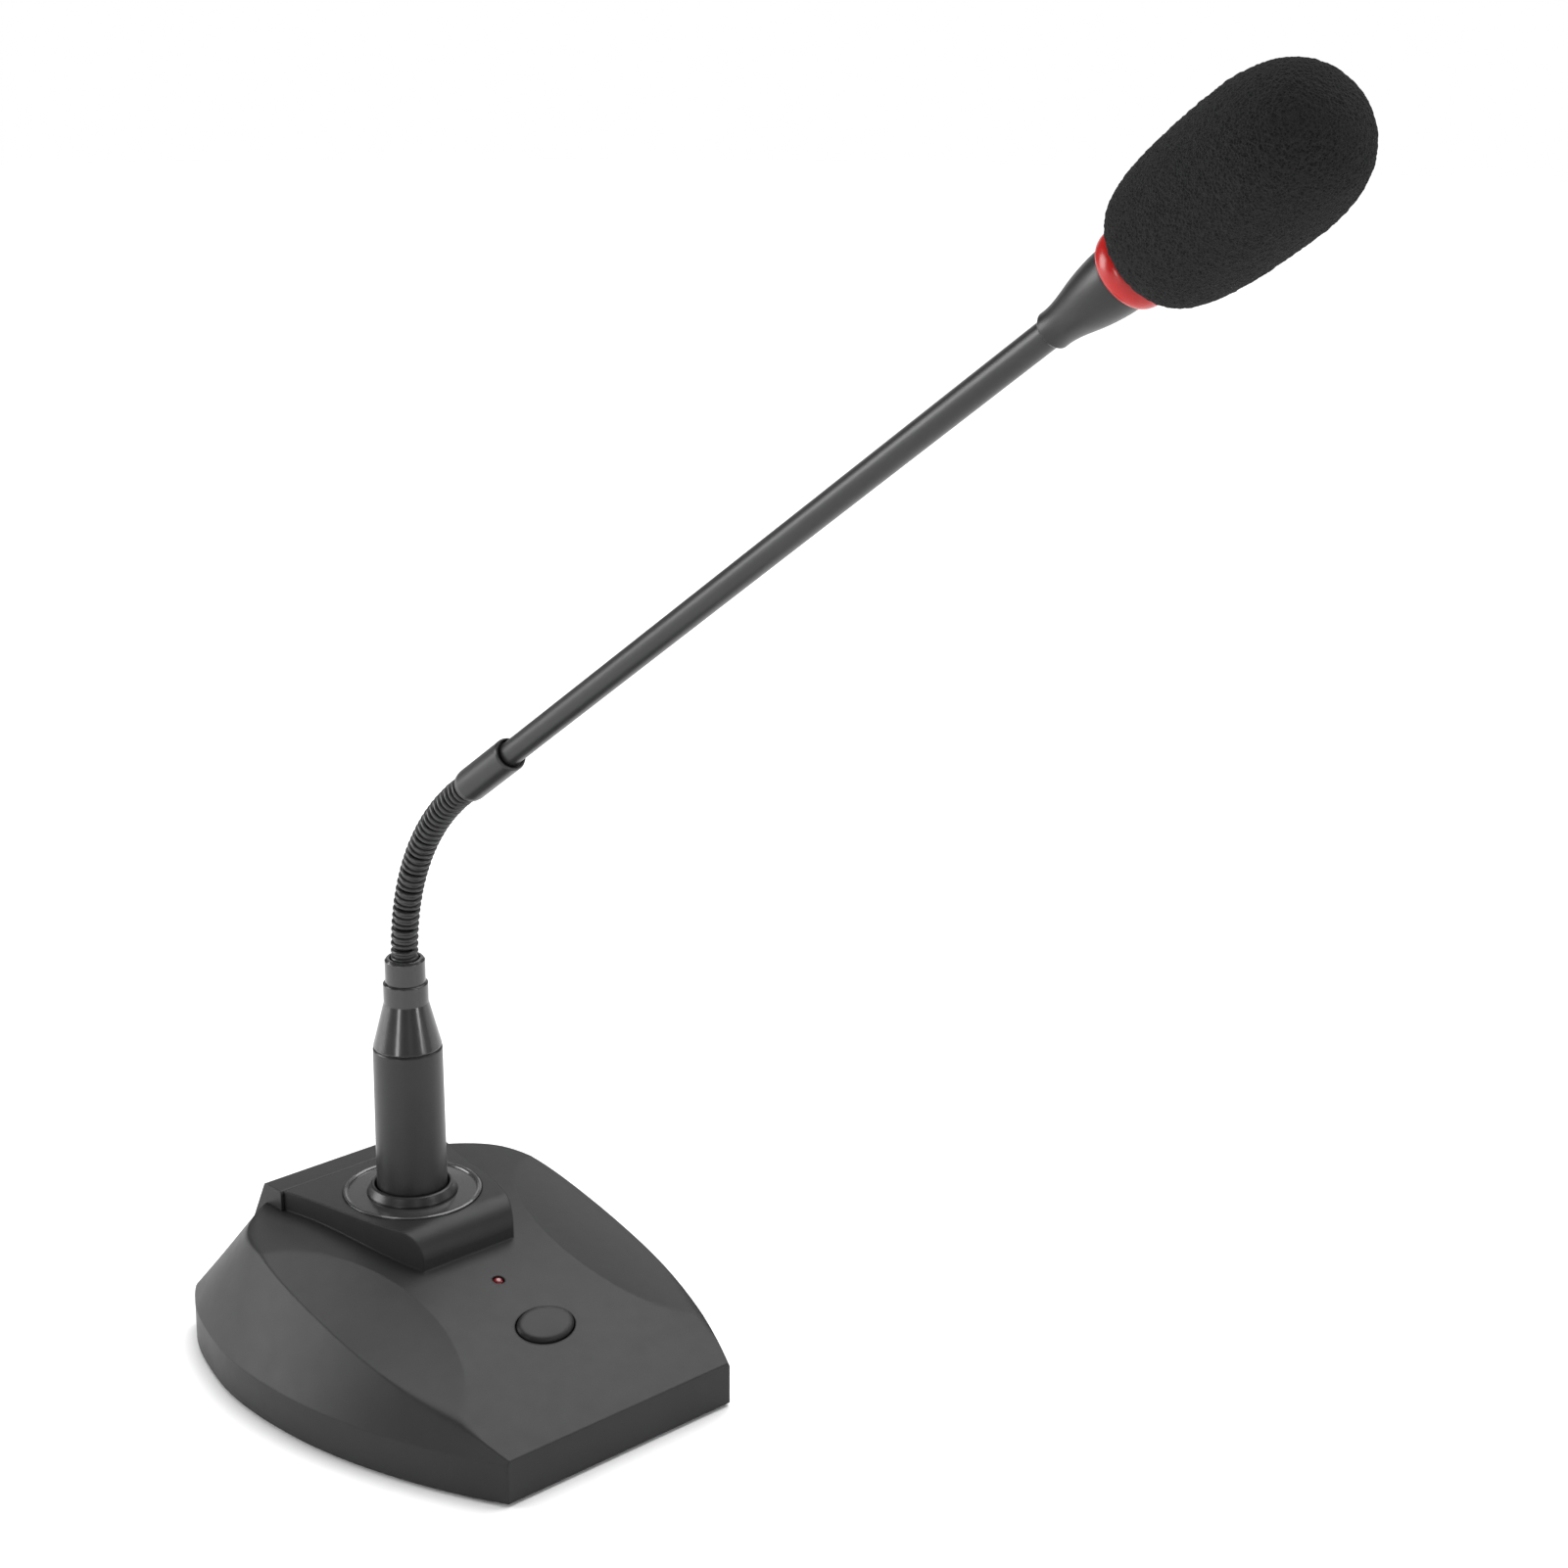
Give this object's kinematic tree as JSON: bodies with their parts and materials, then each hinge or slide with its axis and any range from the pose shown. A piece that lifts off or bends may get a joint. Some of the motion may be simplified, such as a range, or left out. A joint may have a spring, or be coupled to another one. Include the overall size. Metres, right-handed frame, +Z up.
{
  "type": "gooseneck podium microphone",
  "caption": "Desk-stand gooseneck microphone: weighted base with power button, plug-in flexible arm, lit ring and foam windscreen.",
  "frame": {"origin": "on the resting face, straight below the axis of the plug in the base", "axes": "+Z up, -Y towards the talker, X across; X = 0 is the plane of symmetry of the housing"},
  "size_m": [0.1122, 0.3231, 0.3446],
  "materials": {
    "housing_plastic": "fine matt texture",
    "button_plastic": "satin",
    "bezel_gloss": "polished",
    "painted_black": "satin black paint",
    "black_steel": "blackened steel, semi-matt",
    "zinc_steel": "zinc plated",
    "ballast_iron": "rough cast",
    "rubber_black": "matt",
    "board_green": "solder resist",
    "insert_plastic": "moulded",
    "contact_brass": "gold plated",
    "lead_sheath": "wire insulation",
    "led_red": "translucent red lens",
    "ring_red": "translucent red diffuser",
    "capsule_metal": "drawn can",
    "foam_black": "open-cell polyurethane foam"
  },
  "bodies": {
    "base": {"base_shell": "housing_plastic", "rear_cover": "housing_plastic", "output_shell": "painted_black", "output_insert": "insert_plastic", "output_pins": "contact_brass", "output_screws": "zinc_steel", "bottom_plate": "black_steel", "rubber_sole": "rubber_black", "ballast_weight": "ballast_iron", "base_screws": "zinc_steel", "ballast_screws": "zinc_steel", "circuit_board": "board_green", "board_screws": "zinc_steel", "power_switch": "insert_plastic", "led_lens": "led_red", "led_leads": "zinc_steel", "socket_bezel": "bezel_gloss", "socket_collar": "painted_black", "socket_shell": "painted_black", "socket_insert": "insert_plastic", "socket_contacts": "contact_brass", "socket_leads": "lead_sheath", "output_leads": "lead_sheath"},
    "button": {"power_button": "button_plastic", "switch_stem": "insert_plastic"},
    "plug": {"plug_barrel": "painted_black", "plug_insert": "insert_plastic", "plug_pins": "contact_brass", "plug_cone": "painted_black", "ferrule": "painted_black", "hose_root": "black_steel", "plug_lead": "lead_sheath", "hose_lead": "lead_sheath"},
    "link_01": {"gooseneck_01": "black_steel"},
    "link_02": {"gooseneck_02": "black_steel"},
    "link_03": {"gooseneck_03": "black_steel"},
    "link_04": {"gooseneck_04": "black_steel"},
    "link_05": {"gooseneck_05": "black_steel"},
    "link_06": {"gooseneck_06": "black_steel"},
    "link_07": {"gooseneck_07": "black_steel"},
    "link_08": {"gooseneck_08": "black_steel"},
    "link_09": {"gooseneck_09": "black_steel"},
    "arm": {"hose_tip": "black_steel", "arm_sleeve": "painted_black", "arm_tube": "painted_black", "flared_neck": "button_plastic", "light_ring": "ring_red", "ring_led_board": "board_green", "capsule_housing": "painted_black", "mic_capsule": "capsule_metal", "capsule_seat": "rubber_black", "capsule_grille": "painted_black", "tube_lead": "lead_sheath"},
    "windscreen": {"foam_windscreen": "foam_black"}
  },
  "joints": [
    {"name": "power_button_press", "type": "slide", "parent": "base", "child": "button", "axis": [0, 0.3112, -0.9504], "range_m": [0, 0.0015], "stiffness_N_per_m": 500, "springref_m": -0.002},
    {"name": "plug_pull", "type": "slide", "parent": "base", "child": "plug", "axis": [0, 0, 1], "range_m": [0, 0.018]},
    {"name": "neck_bend_1", "type": "hinge", "parent": "plug", "child": "link_01", "pos_m": [0, -0.00007, 0.10992], "axis": [1, 0, 0], "range_deg": [-10.8, 6], "deforming": ["hose_lead"]},
    {"name": "neck_side_1", "type": "hinge", "parent": "link_01", "child": "link_02", "pos_m": [0, -0.00062, 0.11574], "axis": [0, 0.99, 0.1409], "range_deg": [-10, 10], "deforming": ["hose_lead"]},
    {"name": "neck_bend_2", "type": "hinge", "parent": "link_02", "child": "link_03", "pos_m": [0, -0.00171, 0.12147], "axis": [1, 0, 0], "range_deg": [-10.8, 6], "deforming": ["hose_lead"]},
    {"name": "neck_side_2", "type": "hinge", "parent": "link_03", "child": "link_04", "pos_m": [0, -0.00334, 0.12708], "axis": [0, 0.9461, 0.3239], "range_deg": [-10, 10], "deforming": ["hose_lead"]},
    {"name": "neck_bend_3", "type": "hinge", "parent": "link_04", "child": "link_05", "pos_m": [0, -0.00549, 0.13251], "axis": [1, 0, 0], "range_deg": [-10.8, 6], "deforming": ["hose_lead"]},
    {"name": "neck_side_3", "type": "hinge", "parent": "link_05", "child": "link_06", "pos_m": [0, -0.00814, 0.13772], "axis": [0, 0.8686, 0.4955], "range_deg": [-10, 10], "deforming": ["hose_lead"]},
    {"name": "neck_bend_4", "type": "hinge", "parent": "link_06", "child": "link_07", "pos_m": [0, -0.01128, 0.14265], "axis": [1, 0, 0], "range_deg": [-10.8, 6], "deforming": ["hose_lead"]},
    {"name": "neck_side_4", "type": "hinge", "parent": "link_07", "child": "link_08", "pos_m": [0, -0.01486, 0.14727], "axis": [0, 0.7604, 0.6494], "range_deg": [-10, 10], "deforming": ["hose_lead"]},
    {"name": "neck_bend_5", "type": "hinge", "parent": "link_08", "child": "link_09", "pos_m": [0, -0.01885, 0.15152], "axis": [1, 0, 0], "range_deg": [-10.8, 6], "deforming": ["hose_lead"]},
    {"name": "neck_side_5", "type": "hinge", "parent": "link_09", "child": "arm", "pos_m": [0, -0.02323, 0.15539], "axis": [0, 0.6252, 0.7804], "range_deg": [-10, 10], "deforming": ["hose_lead"]},
    {"name": "windscreen_pull", "type": "slide", "parent": "arm", "child": "windscreen", "axis": [0, -0.809, 0.5878], "range_m": [0, 0.035]}
  ]
}
